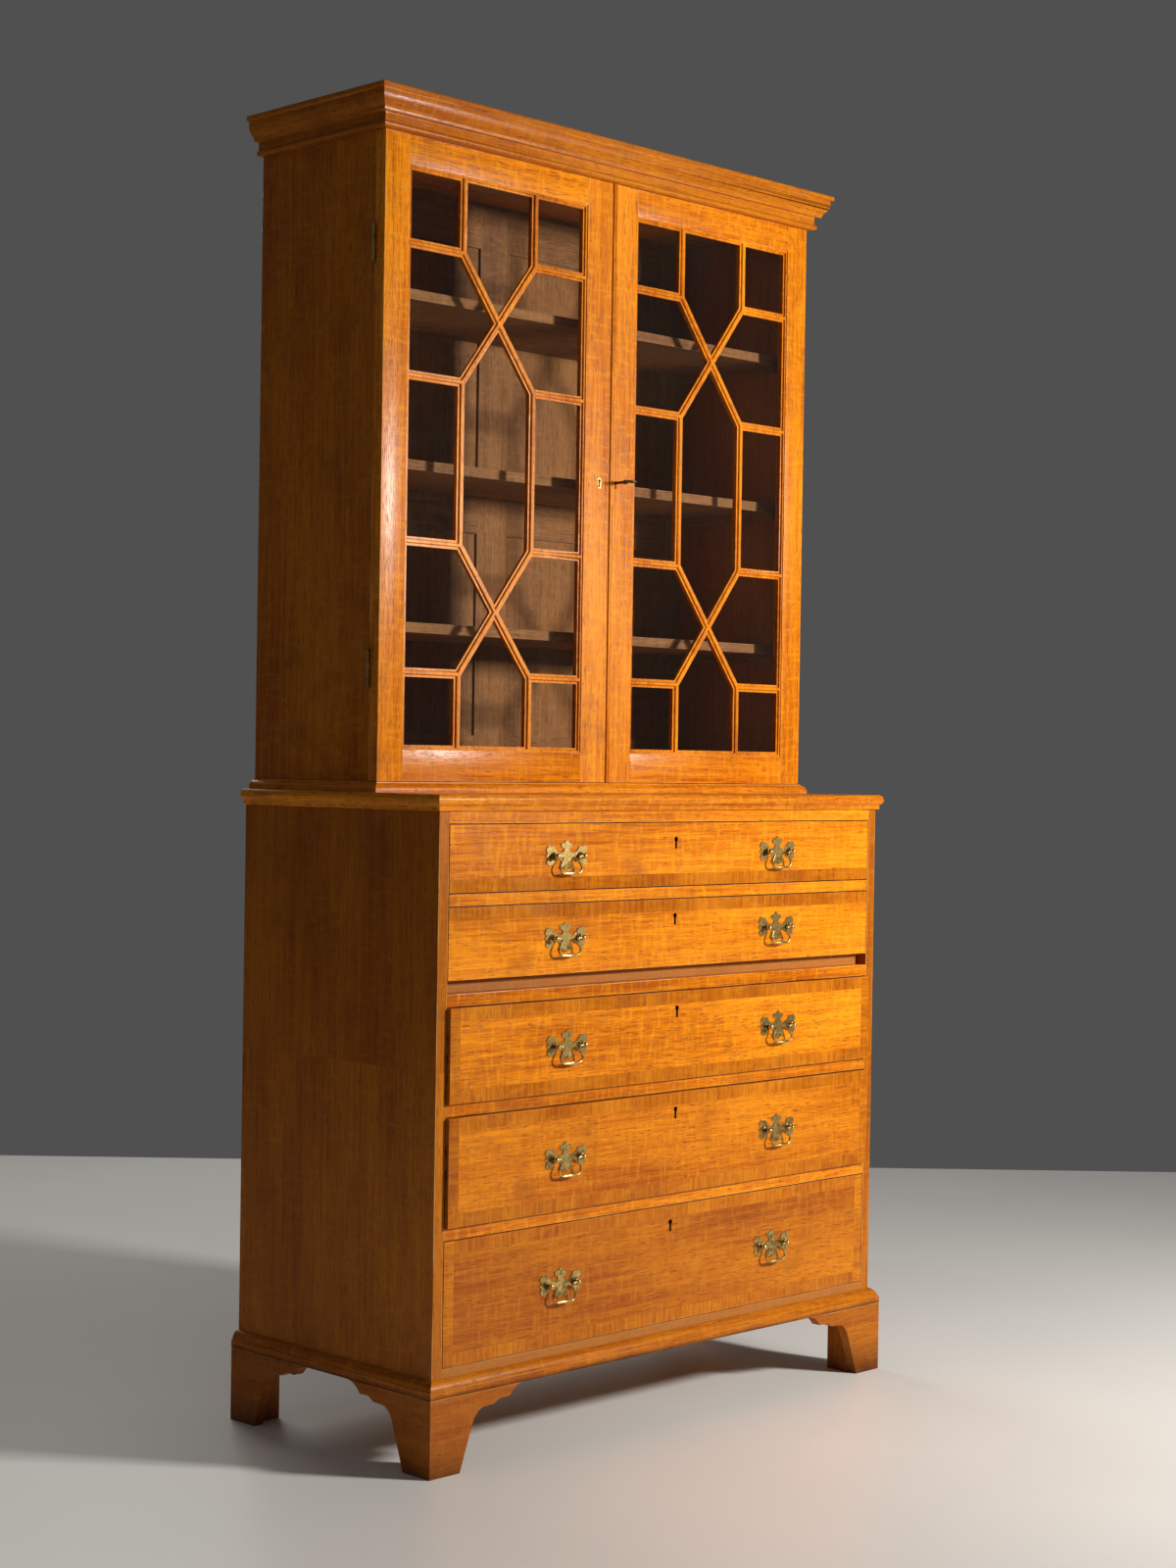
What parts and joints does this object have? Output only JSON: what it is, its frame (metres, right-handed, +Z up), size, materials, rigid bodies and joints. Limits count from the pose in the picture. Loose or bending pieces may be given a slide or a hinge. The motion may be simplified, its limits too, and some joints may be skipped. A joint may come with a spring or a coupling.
{
  "type": "bureau bookcase",
  "caption": "Oak bookcase over a chest: glazed doors with an astragal lattice above a fall-front secretaire drawer, graduated drawers, drop handles and bracket feet",
  "frame": {"origin": "on the floor under the middle of the box around the whole object at rest", "axes": "+X to the right of someone facing the doors, +Y to the back, +Z up; the front faces -Y"},
  "size_m": [1.1224, 0.5158, 2.2],
  "materials": {
    "polished_oak": "waxed, worn at the edges",
    "plain_oak": "dry, unpolished",
    "old_glass": "clear, slightly wavy",
    "aged_brass": "dull, dark in the hollows",
    "key_iron": "dark, worn"
  },
  "bodies": {
    "case": {"lower_side_left": "polished_oak", "lower_side_right": "polished_oak", "lower_top": "polished_oak", "lower_bottom": "plain_oak", "front_rails": "polished_oak", "dust_boards": "plain_oak", "lower_back": "plain_oak", "top_moulding": "polished_oak", "base_moulding": "polished_oak", "bracket_feet": "polished_oak", "upper_side_left": "polished_oak", "upper_side_right": "polished_oak", "upper_top": "polished_oak", "upper_bottom": "polished_oak", "upper_back": "plain_oak", "cornice": "polished_oak", "waist_moulding": "polished_oak", "shelves": "plain_oak", "shelf_bearers": "plain_oak", "case_hinge_leaves": "aged_brass"},
    "left_door": {"left_door_frame": "polished_oak", "left_door_glazing_bars": "polished_oak", "left_door_panes": "old_glass", "left_door_hinge_leaves": "aged_brass", "left_door_escutcheon": "aged_brass"},
    "right_door": {"right_door_frame": "polished_oak", "right_door_glazing_bars": "polished_oak", "right_door_panes": "old_glass", "right_door_hinge_leaves": "aged_brass", "meeting_bead": "polished_oak", "door_lock": "aged_brass"},
    "key": {"door_key": "key_iron"},
    "secretaire": {"secretaire_box": "plain_oak", "pigeonholes": "plain_oak", "secretaire_hinge_leaves": "aged_brass"},
    "fall_front": {"fall_panel": "polished_oak", "fall_hinge_leaves": "aged_brass", "quadrant_stays": "aged_brass", "fall_fittings": "aged_brass"},
    "lower_drawer": {"lower_drawer_front": "polished_oak", "lower_drawer_box": "plain_oak", "lower_drawer_fittings": "aged_brass"},
    "middle_drawer": {"middle_drawer_front": "polished_oak", "middle_drawer_box": "plain_oak", "middle_drawer_fittings": "aged_brass"},
    "upper_drawer": {"upper_drawer_front": "polished_oak", "upper_drawer_box": "plain_oak", "upper_drawer_fittings": "aged_brass"},
    "lower_drawer_handle_left": {"lower_drawer_bail_left": "aged_brass"},
    "lower_drawer_handle_right": {"lower_drawer_bail_right": "aged_brass"},
    "middle_drawer_handle_left": {"middle_drawer_bail_left": "aged_brass"},
    "middle_drawer_handle_right": {"middle_drawer_bail_right": "aged_brass"},
    "upper_drawer_handle_left": {"upper_drawer_bail_left": "aged_brass"},
    "upper_drawer_handle_right": {"upper_drawer_bail_right": "aged_brass"},
    "fall_lower_handle_left": {"fall_lower_bail_left": "aged_brass"},
    "fall_lower_handle_right": {"fall_lower_bail_right": "aged_brass"},
    "fall_upper_handle_left": {"fall_upper_bail_left": "aged_brass"},
    "fall_upper_handle_right": {"fall_upper_bail_right": "aged_brass"}
  },
  "joints": [
    {"name": "left_door_swing", "type": "hinge", "parent": "case", "child": "left_door", "pos_m": [-0.5287, -0.0381, 1.61], "axis": [0, 0, -1], "range_deg": [0, 115]},
    {"name": "right_door_swing", "type": "hinge", "parent": "case", "child": "right_door", "pos_m": [0.5287, -0.0381, 1.61], "axis": [0, 0, 1], "range_deg": [0, 115]},
    {"name": "key_turn", "type": "hinge", "parent": "right_door", "child": "key", "pos_m": [0.016, -0.0601, 1.612], "axis": [0, -1, 0], "range_deg": [0, 90]},
    {"name": "secretaire_slide", "type": "slide", "parent": "case", "child": "secretaire", "axis": [0, -1, 0], "range_m": [0, 0.25]},
    {"name": "fall_swing", "type": "hinge", "parent": "secretaire", "child": "fall_front", "pos_m": [0, -0.2128, 0.774], "axis": [1, 0, 0], "range_deg": [0, 90]},
    {"name": "lower_drawer_slide", "type": "slide", "parent": "case", "child": "lower_drawer", "axis": [0, -1, 0], "range_m": [0, 0.36]},
    {"name": "middle_drawer_slide", "type": "slide", "parent": "case", "child": "middle_drawer", "axis": [0, -1, 0], "range_m": [-0.008, 0.36]},
    {"name": "upper_drawer_slide", "type": "slide", "parent": "case", "child": "upper_drawer", "axis": [0, -1, 0], "range_m": [-0.008, 0.36]},
    {"name": "lower_drawer_bail_left_swing", "type": "hinge", "parent": "lower_drawer", "child": "lower_drawer_handle_left", "pos_m": [-0.264, -0.2454, 0.26625], "axis": [-1, 0, 0], "range_deg": [-10, 85]},
    {"name": "lower_drawer_bail_right_swing", "type": "hinge", "parent": "lower_drawer", "child": "lower_drawer_handle_right", "pos_m": [0.264, -0.2454, 0.26625], "axis": [-1, 0, 0], "range_deg": [-10, 85]},
    {"name": "middle_drawer_bail_left_swing", "type": "hinge", "parent": "middle_drawer", "child": "middle_drawer_handle_left", "pos_m": [-0.264, -0.2534, 0.47375], "axis": [-1, 0, 0], "range_deg": [-10, 85]},
    {"name": "middle_drawer_bail_right_swing", "type": "hinge", "parent": "middle_drawer", "child": "middle_drawer_handle_right", "pos_m": [0.264, -0.2534, 0.47375], "axis": [-1, 0, 0], "range_deg": [-10, 85]},
    {"name": "upper_drawer_bail_left_swing", "type": "hinge", "parent": "upper_drawer", "child": "upper_drawer_handle_left", "pos_m": [-0.264, -0.2534, 0.65725], "axis": [-1, 0, 0], "range_deg": [-10, 85]},
    {"name": "upper_drawer_bail_right_swing", "type": "hinge", "parent": "upper_drawer", "child": "upper_drawer_handle_right", "pos_m": [0.264, -0.2534, 0.65725], "axis": [-1, 0, 0], "range_deg": [-10, 85]},
    {"name": "fall_lower_bail_left_swing", "type": "hinge", "parent": "fall_front", "child": "fall_lower_handle_left", "pos_m": [-0.264, -0.2454, 0.83265], "axis": [-1, 0, 0], "range_deg": [-10, 85]},
    {"name": "fall_lower_bail_right_swing", "type": "hinge", "parent": "fall_front", "child": "fall_lower_handle_right", "pos_m": [0.264, -0.2454, 0.83265], "axis": [-1, 0, 0], "range_deg": [-10, 85]},
    {"name": "fall_upper_bail_left_swing", "type": "hinge", "parent": "fall_front", "child": "fall_upper_handle_left", "pos_m": [-0.264, -0.2454, 0.96675], "axis": [-1, 0, 0], "range_deg": [-10, 85]},
    {"name": "fall_upper_bail_right_swing", "type": "hinge", "parent": "fall_front", "child": "fall_upper_handle_right", "pos_m": [0.264, -0.2454, 0.96675], "axis": [-1, 0, 0], "range_deg": [-10, 85]}
  ]
}
